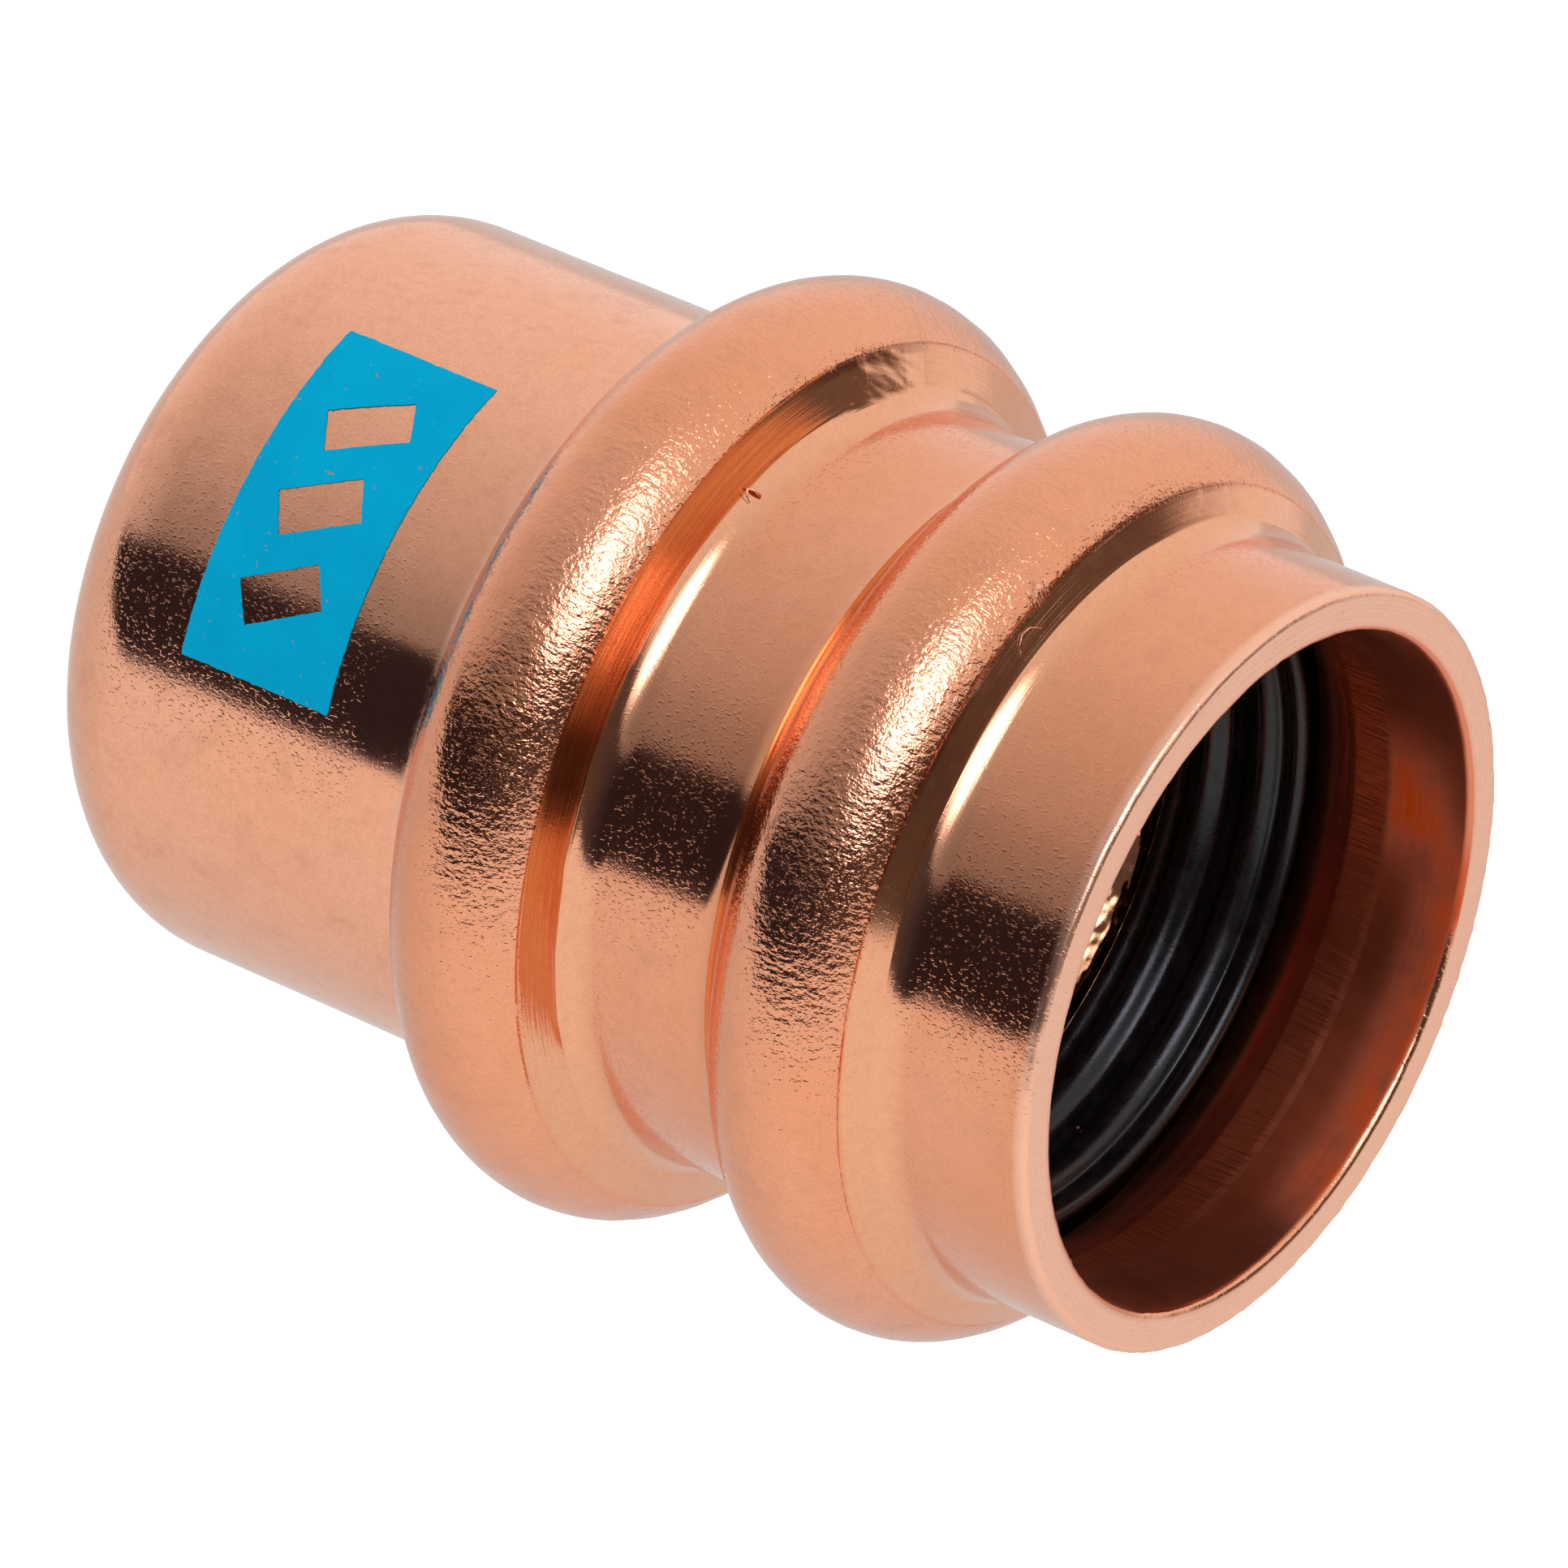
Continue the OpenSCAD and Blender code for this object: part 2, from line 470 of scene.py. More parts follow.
def sliver(form, route, width):
    """A tapered curl of copper along a route of (angle in degrees, height, lift off the surface)."""
    centres = []
    for angle, z, lift in route:
        a, r = math.radians(angle), outside_radius(z) + lift
        centres.append(Vector((r * math.cos(a), r * math.sin(a), z)))
    before = None
    for i, centre in enumerate(centres):
        heading = (centres[min(i + 1, len(centres) - 1)] - centres[max(i - 1, 0)]).normalized()
        out = Vector((centre.x, centre.y, 0)).normalized()
        side = heading.cross(out).normalized()
        up = side.cross(heading)
        size = width * (1 - 0.85 * i / (len(centres) - 1))
        loop = []
        for j in range(6):
            turn = 2 * math.pi * j / 6
            offset = side * math.cos(turn) * size / 2 + up * math.sin(turn) * size * 0.22
            loop.append(form.verts.new((centre + offset) * MM))
        if before:
            for j in range(6):
                form.faces.new((before[j], before[(j + 1) % 6], loop[(j + 1) % 6], loop[j]))
        else:
            form.faces.new(loop[::-1])
        before = loop
    form.faces.new(before)


def make_burrs():
    """The few curls and hairs of copper that the press tool raised along the creases."""
    form = bmesh.new()
    rear_z = LENGTH - REAR_BEAD["depth"]
    front_z = LENGTH - FRONT_BEAD["depth"]
    sliver(
        form,
        [
            (-125.9, rear_z + 3.36, 0.0),
            (-125.5, rear_z + 3.2, 0.16),
            (-124.8, rear_z + 3.12, 0.24),
            (-124.1, rear_z + 3.18, 0.20),
            (-123.8, rear_z + 3.3, 0.07),
        ],
        0.2,
    )
    for i in range(7):
        root = -125.6 + 0.45 * i
        lean = random.uniform(-1.4, 0.6)
        reach = random.uniform(0.18, 0.4)
        sliver(
            form,
            [
                (root, front_z + 2.62, -0.03),
                (root + 0.4 * lean, front_z + 2.55 - 0.4 * reach, 0.10),
                (root + lean, front_z + 2.5 - reach, 0.16),
            ],
            0.07,
        )
    sliver(
        form,
        [
            (-121.8, front_z + 2.84, -0.02),
            (-120.4, front_z + 2.72, 0.10),
            (-118.8, front_z + 2.70, 0.14),
            (-117.4, front_z + 2.78, 0.12),
            (-116.6, front_z + 2.9, 0.04),
        ],
        0.09,
    )
    bmesh.ops.recalc_face_normals(form, faces=form.faces[:])
    mesh = bpy.data.meshes.new("crease_burrs")
    form.to_mesh(mesh)
    form.free()
    smooth(mesh)
    mesh.materials.append(burr_material())
    return new_object("crease_burrs", mesh)


# ---------------------------------------------------------------- the seal rings
def seal_outline(back_r):
    """A seal ring's section as (r, z) about its own middle: a round back, two side lips and two ridges."""
    inner_r = BORE_R - SEAL_REACH
    back = back_r - SEAL_BACK_R
    lip = BORE_R - LIP_REACH + LIP_R
    ridge_r = inner_r + RIDGE_R
    valley = inner_r + VALLEY_DEPTH
    half = (
        arc((back, 0.0), SEAL_BACK_R, 0, 90, 24)
        + [(lip + LIP_R / 2, LIP_SPACING / 2 + LIP_R * 0.8)]
        + arc((lip, LIP_SPACING / 2), LIP_R, 80, 225, 14)
        + [(valley, (LIP_SPACING + RIDGE_SPACING) / 4 + 0.12)]
        + arc((ridge_r, RIDGE_SPACING / 2), RIDGE_R, 100, 245, 18)
        + [(valley, 0.3), (valley, 0.08)]
    )
    loop = half + [(valley - 0.035, 0.0)] + [(r, -z) for r, z in half[:0:-1]]
    even = spaced(loop + [loop[0]], lambda r, z: SEAL_PITCH if r < back else 3 * SEAL_PITCH)[:-1]
    for _ in range(2):
        count = len(even)
        even = [
            tuple(0.25 * even[i - 1][c] + 0.5 * even[i][c] + 0.25 * even[(i + 1) % count][c] for c in (0, 1))
            for i in range(count)
        ]
    return even


def make_seal(node, seed):
    """A moulded rubber ring, with a fine parting line between its two ridges."""
    low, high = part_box(node)
    middle = (low.z + high.z) / 2 / MM
    section = seal_outline(high.x / MM)
    normals = line_normals(section, closed=True)

    def place(j, angle):
        r, z = section[j]
        nr, nz = normals[j]
        wave = noise.noise(Vector((math.cos(angle) * 2.5, math.sin(angle) * 2.5, seed + z)))
        fine = noise.noise(Vector((math.cos(angle) * 14, math.sin(angle) * 14, seed + 2 * z)))
        lift = 0.012 * wave + 0.004 * fine - 0.012
        return r + nr * lift, middle + z + nz * lift

    vertices, faces = turned(section, SEAL_AROUND, place)
    name = "moulded_" + node
    mesh = bpy.data.meshes.new(name)
    mesh.from_pydata(vertices, [], faces)
    smooth(mesh)
    mesh.materials.append(rubber_material())
    return new_object(name, mesh, replaces=(node,))


# ---------------------------------------------------------------- the printed field
# How far inside the design's field the ragged edge runs, in millimetres.
INK_MARGIN = 0.05


def rough_loop(corners, pitch, rough, seed):
    """A closed loop of points through the corners, spaced by pitch and pushed about by rough."""
    points = []
    for i, corner in enumerate(corners):
        after = corners[(i + 1) % len(corners)]
        count = max(2, round(math.dist(corner, after) / pitch))
        for k in range(count):
            t = k / count
            x = corner[0] + (after[0] - corner[0]) * t
            y = corner[1] + (after[1] - corner[1]) * t
            push = noise.noise_vector(Vector((x * 5, y * 5, seed)))
            points.append((x + rough * push.x, y + rough * push.y))
    return points


def inside(loop, x, y):
    """Whether a point lies in a closed loop."""
    odd = False
    for i in range(len(loop)):
        (x0, y0), (x1, y1) = loop[i - 1], loop[i]
        if (y0 > y) != (y1 > y) and x < (x1 - x0) * (y - y0) / (y1 - y0) + x0:
            odd = not odd
    return odd


def ink_loops(half_w, half_h):
    """The field's ragged outline and those of its bare slanted bars, laid flat, in millimetres."""
    corners = [(-half_w, -half_h), (half_w, -half_h), (half_w, half_h), (-half_w, half_h)]
    loops = [rough_loop(corners, INK_PITCH, 0.035, 1)]
    spacing = math.radians(MARK_ANGLE) * OUTER_R / (MARK_BARS + 1)
    slant = math.radians(BAR_SLANT)
    for i in range(MARK_BARS):
        middle_x = (i - (MARK_BARS - 1) / 2) * spacing
        corners = []
        for side_x, side_y in ((-1, -1), (-1, 1), (1, 1), (1, -1)):
            x, y = side_x * BAR_SIZE[0] / 2, side_y * BAR_SIZE[1] / 2
            across = middle_x + x * math.cos(slant) - y * math.sin(slant)
            corners.append((across, x * math.sin(slant) + y * math.cos(slant)))
        loops.append(rough_loop(corners, INK_PITCH, 0.03, 4 + i))
    return loops


def ink_triangles(half_w, half_h):
    """The flat field's points and its triangles, without those in the bare bars."""
    loops = ink_loops(half_w, half_h)
    points, edges = [], []
    for loop in loops:
        first = len(points)
        points += [Vector(p) for p in loop]
        edges += [(first + k, first + (k + 1) % len(loop)) for k in range(len(loop))]
    pitch = 2.5 * INK_PITCH
    for i in range(round(2 * half_w / pitch)):
        for j in range(round(2 * half_h / pitch)):
            points.append(Vector((-half_w + (i + 0.5) * pitch, -half_h + (j + 0.5) * pitch)))
    flat, _, triangles, _, _, _ = geometry.delaunay_2d_cdt(points, edges, [], 0, 1e-6)
    kept = []
    for triangle in triangles:
        x = sum(flat[v].x for v in triangle) / 3
        y = sum(flat[v].y for v in triangle) / 3
        if inside(loops[0], x, y) and not any(inside(loop, x, y) for loop in loops[1:]):
            kept.append(triangle)
    return flat, kept


def make_mark():
    """The printed field: a film of ink with ragged edges, bent round the barrel, with bare slanted bars."""
    low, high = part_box("printed_mark")
    middle = (low.z + high.z) / 2 / MM
    half_h = (high.z - low.z) / 2 / MM - INK_MARGIN
    half_w = math.radians(MARK_ANGLE) / 2 * OUTER_R - INK_MARGIN
    flat, triangles = ink_triangles(half_w, half_h)
    top, bottom = (OUTER_R + 0.75 * INK) * MM, (OUTER_R - 0.5 * INK) * MM
    form = bmesh.new()
    verts = []
    for p in flat:
        angle = math.radians(MARK_MIDDLE) + p.x / OUTER_R
        verts.append(form.verts.new((top * math.cos(angle), top * math.sin(angle), (middle + p.y) * MM)))
    for triangle in triangles:
        form.faces.new([verts[v] for v in triangle])
    loose = [v for v in form.verts if not v.link_faces]
    bmesh.ops.delete(form, geom=loose, context="VERTS")
    skin = bmesh.ops.extrude_face_region(form, geom=form.faces[:])
    for element in skin["geom"]:
        if isinstance(element, bmesh.types.BMVert):
            scale = bottom / math.hypot(element.co.x, element.co.y)
            element.co.x *= scale
            element.co.y *= scale
    bmesh.ops.recalc_face_normals(form, faces=form.faces[:])
    mesh = bpy.data.meshes.new("ink_field")
    form.to_mesh(mesh)
    form.free()
    mesh.materials.append(ink_material())
    return new_object("ink_field", mesh, replaces=("printed_mark",))


# ---------------------------------------------------------------- node help
class Nodes:
    """A short way to write a node tree."""

    def __init__(self, tree):
        self.tree = tree
        self.tree.nodes.clear()

    def fill(self, socket, value):
        """Link the socket to another, or set its number or colour."""
        if isinstance(value, bpy.types.NodeSocket):
            self.tree.links.new(value, socket)
        else:
            socket.default_value = value

    def add(self, kind, inputs=None, **settings):
        """A node with its settings and inputs."""
        node = self.tree.nodes.new(kind)
        for name, value in settings.items():
            setattr(node, name, value)
        for name, value in (inputs or {}).items():
            self.fill(node.inputs[name], value)
        return node

    def math(self, operation, *values):
        """Arithmetic on numbers or sockets."""
        node = self.add("ShaderNodeMath", operation=operation)
        for i, value in enumerate(values):
            self.fill(node.inputs[i], value)
        return node.outputs[0]

    def vector(self, operation, *values):
        """Arithmetic on vectors."""
        node = self.add("ShaderNodeVectorMath", operation=operation)
        for i, value in enumerate(values):
            self.fill(node.inputs[i], value)
        return node.outputs["Value" if operation == "DOT_PRODUCT" else "Vector"]

    def fade(self, value, low, high, to_low=0.0, to_high=1.0):
        """to_low below low, to_high above high, and smooth between."""
        node = self.add(
            "ShaderNodeMapRange",
            {"Value": value, "From Min": low, "From Max": high, "To Min": to_low, "To Max": to_high},
            interpolation_type="SMOOTHSTEP",
        )
        return node.outputs["Result"]

    def mix(self, factor, a, b):
        """The colour a where the factor is 0, and b where it is 1."""
        node = self.add("ShaderNodeMix", data_type="RGBA")
        for index, value in ((0, factor), (6, a), (7, b)):
            self.fill(node.inputs[index], value)
        return node.outputs[2]

    def noise(self, vector, scale, detail=2.0, rough=0.5):
        """Fractal noise from about 0.2 to 0.8."""
        node = self.add(
            "ShaderNodeTexNoise", {"Vector": vector, "Scale": scale, "Detail": detail, "Roughness": rough}
        )
        return node.outputs["Fac"]

    def attribute(self, name):
        """A float that the mesh stores at each vertex."""
        return self.add("ShaderNodeAttribute", attribute_name=name).outputs["Fac"]

    def join(self, x, y, z):
        """A vector from three numbers."""
        return self.add("ShaderNodeCombineXYZ", {"X": x, "Y": y, "Z": z}).outputs["Vector"]

    def principled(self, inputs):
        """The principled shader with its inputs, as the material's surface."""
        shader = self.add("ShaderNodeBsdfPrincipled", inputs)
        self.add("ShaderNodeOutputMaterial", {"Surface": shader.outputs[0]})

    def bump(self, height, distance, normal=None):
        """A normal tilted by a height of up to distance, on top of another one."""
        inputs = {"Height": height, "Distance": distance, "Strength": 1.0}
        if normal is not None:
            inputs["Normal"] = normal
        return self.add("ShaderNodeBump", inputs).outputs["Normal"]


def rgb(red, green, blue):
    """An opaque colour."""
    return (red, green, blue, 1.0)


# ---------------------------------------------------------------- materials
def in_millimetres(n):
    """The surface point in the object's own frame, in millimetres, its distance from the axis, and the x and
    y of its direction from the axis."""
    mm = n.vector("SCALE", n.add("ShaderNodeTexCoord").outputs["Object"])
    mm.node.inputs["Scale"].default_value = 1 / MM
    axes = n.add("ShaderNodeSeparateXYZ", {"Vector": mm}).outputs
    across = n.math("ADD", n.math("POWER", axes["X"], 2.0), n.math("POWER", axes["Y"], 2.0))
    radius = n.math("SQRT", across)
    return mm, radius, n.math("DIVIDE", axes["X"], radius), n.math("DIVIDE", axes["Y"], radius)


def new_material(name, kind=Nodes):
    """A material with an empty tree, and the nodes to fill it with."""
    material = bpy.data.materials.new(name)
    material.use_nodes = True
    return material, kind(material.node_tree)


# The folds in the rear bead's foot slant across it: how fast the axis and the way round turn their noise.
FOLD_ROUND = Vector((-math.sin(math.radians(204)), math.cos(math.radians(204)), 0.0))
FOLD_SLANT = tuple(0.38 * FOLD_ROUND)
FOLD_LENGTH = tuple(0.92 * FOLD_ROUND)

# The copper's colours by place and wear, as linear red, green and blue.
FRESH_COPPER = (rgb(0.86, 0.372, 0.218), rgb(0.85, 0.346, 0.188))
DULL_COPPER = (rgb(0.92, 0.437, 0.270), rgb(0.92, 0.452, 0.290))
STAINED_COPPER = rgb(0.70, 0.310, 0.185)
DARK_COPPER = rgb(0.58, 0.240, 0.135)
FOOT_COPPER = rgb(0.85, 0.412, 0.240)
STRIP_COPPER = rgb(0.89, 0.465, 0.235)
BRUSHED_COPPER = rgb(0.90, 0.450, 0.225)
BRUSH_STREAKS = rgb(0.58, 0.225, 0.095)
# The painted shade in the creases at the beads' feet.
PAINTED_SHADE_COPPER = rgb(0.34, 0.120, 0.075)
BORE_COPPER = rgb(0.76, 0.250, 0.135)
COMBED_COPPER = rgb(0.60, 0.180, 0.085)
SMEARED_COPPER = rgb(0.60, 0.180, 0.100)
# The painted glow: a saturated orange, less metallic, that lights up the bore near the mouth.
GLOW_PAINT_COPPER = rgb(0.66, 0.072, 0.002)
# The land's lighter copper, partly a painted highlight deep in the bore.
LAND_HIGHLIGHT_COPPER = rgb(0.98, 0.500, 0.270)
FROSTED_COPPER = rgb(0.84, 0.500, 0.390)
WORN_COPPER = rgb(1.0, 0.560, 0.390)

# The mesh's marks that the copper uses as they are.
COPPER_MARKS = ("along", "worked", "hammer", "foot", "lines", "face", "comb", "land", "wall", "strip", "fold")


class CopperNodes(Nodes):
    """The nodes of the cup's copper, which read where each point is from the mesh's marks."""

    def __init__(self, tree):
        super().__init__(tree)
        self.mm, self.radius, self.around_x, self.around_y = in_millimetres(self)
        mm = self.mm
        for name in COPPER_MARKS:
            setattr(self, name, self.attribute(name))
        # lip is a painted highlight on the bore's edge: there the bore's colour, roughness and painted glow
        # are left out.
        bare = self.math("SUBTRACT", 1.0, self.attribute("lip"))
        self.bore = self.math("SUBTRACT", self.attribute("bore"), self.attribute("lip"))
        patches = self.fade(self.noise(mm, 3.0, 3.0, 0.6), 0.3, 0.6)
        self.frost = self.math("MULTIPLY", self.attribute("frost"), patches)
        # The painted shade in the beads' creases, broken into patches.
        patches = self.fade(self.noise(mm, 1.5, 3.0, 0.6), 0.25, 0.55)
        self.grime = self.math("MULTIPLY", self.attribute("grime"), patches)
        # The painted glow in the bore, in patches and smudges, left out where the edge has its painted
        # highlight.
        patches = self.fade(self.noise(mm, 0.7), 0.2, 0.6, 0.5, 1.0)
        warm = self.math("MULTIPLY", self.attribute("warm"), patches)
        smudges = self.fade(self.noise(self.lie(3.0, 7.0), 1.0), 0.35, 0.65, 0.75, 1.0)
        self.warm = self.math("MULTIPLY", self.math("MULTIPLY", warm, smudges), bare)
        self.worn = self.math("MAXIMUM", self.face, self.math("MULTIPLY", self.attribute("rim"), 0.75))
        self.stain = self.noise(mm, 0.7, 4.0, 0.6)
        self.grain = self.noise(mm, 13.0, 1.0, 0.5)

    def lie(self, turns, rows):
        """A place for stretched noise: turns features round the axis, rows per millimetre along it."""
        x, y = self.math("MULTIPLY", self.around_x, turns), self.math("MULTIPLY", self.around_y, turns)
        return self.join(x, y, self.math("MULTIPLY", self.along, rows))

    def colour(self):
        """Pink-orange metal, duller behind the rear bead: stains, a painted shade in the beads' creases,
        brushed feet, and a darker bore with a painted glow near the mouth, a painted highlight on its broken
        edge and a lighter land that is partly a painted highlight.
        """
        slow = self.fade(self.noise(self.mm, 0.16, 3.0, 0.55), 0.35, 0.65)
        colour = self.mix(self.worked, self.mix(slow, *DULL_COPPER), self.mix(slow, *FRESH_COPPER))
        colour = self.mix(self.fade(self.stain, 0.5, 0.75, 0.0, 0.45), colour, STAINED_COPPER)
        colour = self.mix(self.math("MULTIPLY", self.foot, 0.9), colour, FOOT_COPPER)
        # The painted shade in the creases at the beads' feet.
        colour = self.mix(self.math("MULTIPLY", self.grime, 0.8), colour, PAINTED_SHADE_COPPER)
        colour = self.mix(self.strip, colour, STRIP_COPPER)
        colour = self.mix(self.wall, colour, BRUSHED_COPPER)
        streaks = self.fade(self.noise(self.lie(2.2, 17.0), 1.0, 2.0, 0.6), 0.35, 0.65, 0.0, 0.6)
        colour = self.mix(self.math("MULTIPLY", self.wall, streaks), colour, BRUSH_STREAKS)
        colour = self.mix(self.fade(self.grain, 0.3, 0.7, 0.0, 0.24), colour, DARK_COPPER)
        clouds = self.fade(self.noise(self.mm, 2.6, 2.0, 0.6), 0.4, 0.7, 0.0, 0.14)
        colour = self.mix(clouds, colour, DARK_COPPER)
        colour = self.mix(self.bore, colour, BORE_COPPER)
        colour = self.mix(self.math("MULTIPLY", self.comb, 0.4), colour, COMBED_COPPER)
        smear = self.fade(self.noise(self.lie(14.0, 0.5), 1.0, 3.0, 0.6), 0.3, 0.7, 0.0, 0.35)
        colour = self.mix(self.math("MULTIPLY", self.bore, smear), colour, SMEARED_COPPER)
        # The painted glow in the bore near the mouth.
        colour = self.mix(self.warm, colour, GLOW_PAINT_COPPER)
        # The land behind the front ring: lighter copper, partly a painted highlight.
        colour = self.mix(self.land, colour, LAND_HIGHLIGHT_COPPER)
        colour = self.mix(self.math("MULTIPLY", self.frost, 0.7), colour, FROSTED_COPPER)
        return self.mix(self.worn, colour, WORN_COPPER)

    def normal(self):
        """Pits and grain everywhere but where a tool smoothed them, then each place's own marks."""
        pits = self.fade(self.noise(self.lie(112.0, 6.0), 1.0, 1.0, 0.5), 0.555, 0.745)
        skin = self.noise(self.mm, 4.8, 2.0, 0.6)
        strokes = self.noise(self.lie(78.0, 1.7), 1.0, 2.0, 0.6)
        turning = self.noise(self.lie(1.6, 13.0), 1.0, 2.0, 0.6)
        score = self.noise(self.lie(70.0, 0.5), 1.0, 2.0, 0.6)
        saw = self.join(self.math("MULTIPLY", self.radius, 9.0), self.around_x, self.around_y)
        rings = self.noise(saw, 1.0, 2.0, 0.6)
        even = self.math("MAXIMUM", self.lines, self.wall)
        even = self.math("MAXIMUM", even, self.math("MAXIMUM", self.foot, self.bore))
        polish = self.math("SUBTRACT", 1.0, self.math("MULTIPLY", even, 0.85))
        scored = self.math("MAXIMUM", self.foot, self.math("MULTIPLY", self.lines, 0.5))
        normal = None
        for height, place, depth in (
            (pits, polish, 0.0056),
            (self.grain, polish, 0.003),
            (skin, self.hammer, 0.040),
            (strokes, self.hammer, 0.026),
            (turning, scored, 0.006),
            (score, self.comb, 0.06),
            (rings, self.face, 0.02),
            (self.folds(), self.fold, 0.12),
            (self.crumple(), self.land, 1.0),
        ):
            normal = self.bump(self.math("MULTIPLY", height, place), depth * MM, normal)
        return normal

    def folds(self):
        """Long slanted folds."""
        slant = self.vector("DOT_PRODUCT", self.mm, FOLD_SLANT)
        slant = self.math("ADD", self.math("MULTIPLY", self.along, 0.92), slant)
        length = self.math("MULTIPLY", self.vector("DOT_PRODUCT", self.mm, FOLD_LENGTH), 0.35)
        return self.noise(self.join(self.math("MULTIPLY", slant, 1.1), length, 0.0), 1.0, 2.0, 0.5)

    def crumple(self):
        """A tilt along the bore with folds in it."""
        folds = self.math("MULTIPLY", self.noise(self.lie(6.0, 0.9), 1.0), 0.32)
        return self.math("ADD", self.math("MULTIPLY", self.along, 0.6), folds)

    def roughness(self):
        """Satin, and rougher where it is stained, worn, frosted or brushed, and in the bore."""
        rough = self.math("ADD", 0.085, self.fade(self.stain, 0.3, 0.8, 0.0, 0.05))
        inner = self.math("SUBTRACT", self.bore, self.land)
        for place, more in ((self.worn, 0.26), (self.frost, 0.15), (self.wall, 0.06), (inner, 0.24)):
            rough = self.math("ADD", rough, self.math("MULTIPLY", place, more))
        return rough


def copper_material():
    """Satin drawn copper: pitted grain everywhere, a hammered skin on the beads' front flanks, fine tool
    lines round their feet, a sawn end face and a scored socket."""
    material, n = new_material("satin_copper", CopperNodes)
    n.principled(
        {
            "Base Color": n.colour(),
            # Less metallic where the painted glow lies.
            "Metallic": n.math("SUBTRACT", 1.0, n.math("MULTIPLY", n.warm, 0.8)),
            "Roughness": n.roughness(),
            "Normal": n.normal(),
            "Specular IOR Level": 0.1,
        }
    )
    return material


def burr_material():
    """The torn copper of a burr: bright, with a fine grain."""
    material, n = new_material("torn_copper")
    mm = in_millimetres(n)[0]
    grain = n.noise(mm, 12.0, 2.0, 0.6)
    colour = n.mix(n.fade(grain, 0.4, 0.6), rgb(0.80, 0.40, 0.26), rgb(0.92, 0.58, 0.42))
    normal = n.bump(grain, 0.02 * MM)
    n.principled({"Base Color": colour, "Metallic": 1.0, "Roughness": 0.28, "Normal": normal})
    return material


def rubber_material():
    """Black moulded rubber with a greasy sheen, and a few flecks of copper dust on it."""
    material, n = new_material("black_seal_rubber")
    mm = in_millimetres(n)[0]
    cloud = n.noise(mm, 1.2, 3.0, 0.6)
    sand = n.noise(mm, 9.0, 2.0, 0.6)
    cells = n.add("ShaderNodeTexVoronoi", {"Vector": mm, "Scale": 1.3})
    lots = n.add("ShaderNodeSeparateColor", {"Color": cells.outputs["Color"]}).outputs[0]
    few = n.math("GREATER_THAN", lots, 0.72)
    fleck = n.math("MULTIPLY", few, n.fade(cells.outputs["Distance"], 0.085, 0.06))
    colour = n.mix(n.fade(cloud, 0.4, 0.7), rgb(0.0045, 0.0045, 0.005), rgb(0.009, 0.0085, 0.009))
    colour = n.mix(fleck, colour, rgb(0.42, 0.13, 0.06))
    rough = n.math("ADD", n.fade(cloud, 0.3, 0.7, 0.20, 0.31), n.math("MULTIPLY", fleck, 0.2))
    normal = n.bump(n.math("ADD", sand, n.math("MULTIPLY", fleck, 2.0)), 0.008 * MM)
    n.principled({"Base Color": colour, "Roughness": rough, "Normal": normal, "Specular IOR Level": 0.4})
    return material


def ink_material():
    """Flat blue ink, a little thin in places, with specks where it missed the copper's pits."""
    material, n = new_material("blue_printed_ink")
    mm = in_millimetres(n)[0]
    cloud = n.noise(mm, 0.5, 3.0, 0.5)
    fine = n.noise(mm, 9.0, 2.0, 0.5)
    speck = n.fade(n.noise(mm, 5.0, 1.0, 0.5), 0.75, 0.79)
    colour = n.mix(n.fade(cloud, 0.35, 0.7), rgb(0.0, 0.292, 0.458), rgb(0.0, 0.270, 0.435))
    colour = n.mix(n.fade(fine, 0.55, 0.75, 0.0, 0.5), colour, rgb(0.0, 0.240, 0.400))
    colour = n.mix(speck, colour, rgb(0.30, 0.15, 0.10))
    rough = n.fade(fine, 0.3, 0.7, 0.5, 0.62)
    normal = n.bump(fine, 0.006 * MM)
    n.principled({"Base Color": colour, "Roughness": rough, "Normal": normal, "Specular IOR Level": 0.02})
    return material


# ---------------------------------------------------------------- studio
# The studio has its own axes, because the row stands while the light falls on it as if it lay on its side.
STUDIO_UP = Vector((-0.764, -0.645, 0.0)).normalized()
STUDIO_RIGHT = Vector((0.0, 0.0, 1.0))
STUDIO_FRONT = STUDIO_RIGHT.cross(STUDIO_UP)

# Places are azimuth and elevation in the studio, in degrees. SKY is the sky's brightness by degrees from its
# dullest place, and SKY_ENDS its brightness there and opposite.
DULLEST = (-10, 12)
KEY_LIGHT = (58, 52)
KEY_STRENGTH = 3.4
BRIGHT_TABLE = (40, 0)
SKY = ((27, 0.33), (48, 0.57), (75, 0.77), (108, 0.95))
SKY_ENDS = (0.30, 1.0)

LENS = 316.8
SENSOR = 36.0
CAMERA_ELEVATION = 29.86
CAMERA_ROLL = 112.9
CAMERA_DISTANCE = 437.3
AIM = (0.38, 0.0, 0.535 * LENGTH)
FLOOR_SIZE = 3.0


def studio_direction(azimuth, elevation):
    """The row direction that lies at this azimuth and elevation, in degrees, in the studio's own axes."""
    a, e = math.radians(azimuth), math.radians(elevation)
    flat = STUDIO_FRONT * math.cos(a) + STUDIO_RIGHT * math.sin(a)
    return flat * math.cos(e) + STUDIO_UP * math.sin(e)


